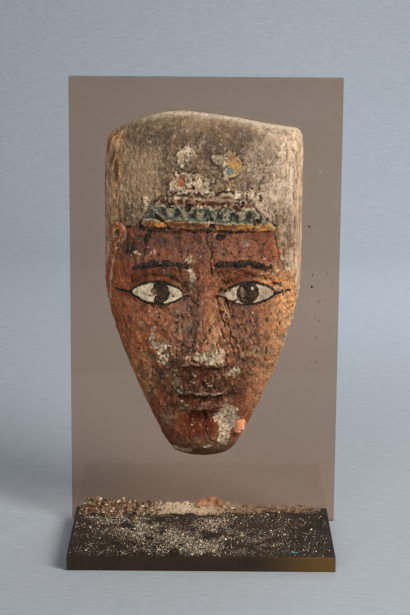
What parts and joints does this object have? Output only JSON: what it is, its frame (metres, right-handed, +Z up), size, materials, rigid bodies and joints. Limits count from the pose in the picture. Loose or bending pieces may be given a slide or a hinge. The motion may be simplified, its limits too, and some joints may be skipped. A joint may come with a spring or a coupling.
{
  "type": "egyptian mummy mask",
  "caption": "Carved, plastered and painted wooden mummy mask mounted against an upright smoked acrylic sheet behind a dark metal foot plate.",
  "frame": {"origin": "middle of the underside, where the foot plate and the sheet's lower edge stand on the table", "axes": "+Z up, the mask faces -Y, +X to the right as seen from the front"},
  "size_m": [0.1876, 0.1062, 0.3175],
  "materials": {
    "painted_wood": "worn paint over plaster, bare weathered wood above the brow",
    "smoked_acrylic": "clear smoked acrylic, polished",
    "dark_brass": "dark brown patina, worn at the edges, dusty",
    "orange_wax": "matt soft wax",
    "plaster_crumbs": "rough crumbled plaster and wood dust"
  },
  "bodies": {
    "root": {"mask": "painted_wood", "acrylic_sheet": "smoked_acrylic", "foot_plate": "dark_brass", "orange_pellet": "orange_wax", "fallen_crumbs": "plaster_crumbs"}
  },
  "joints": []
}
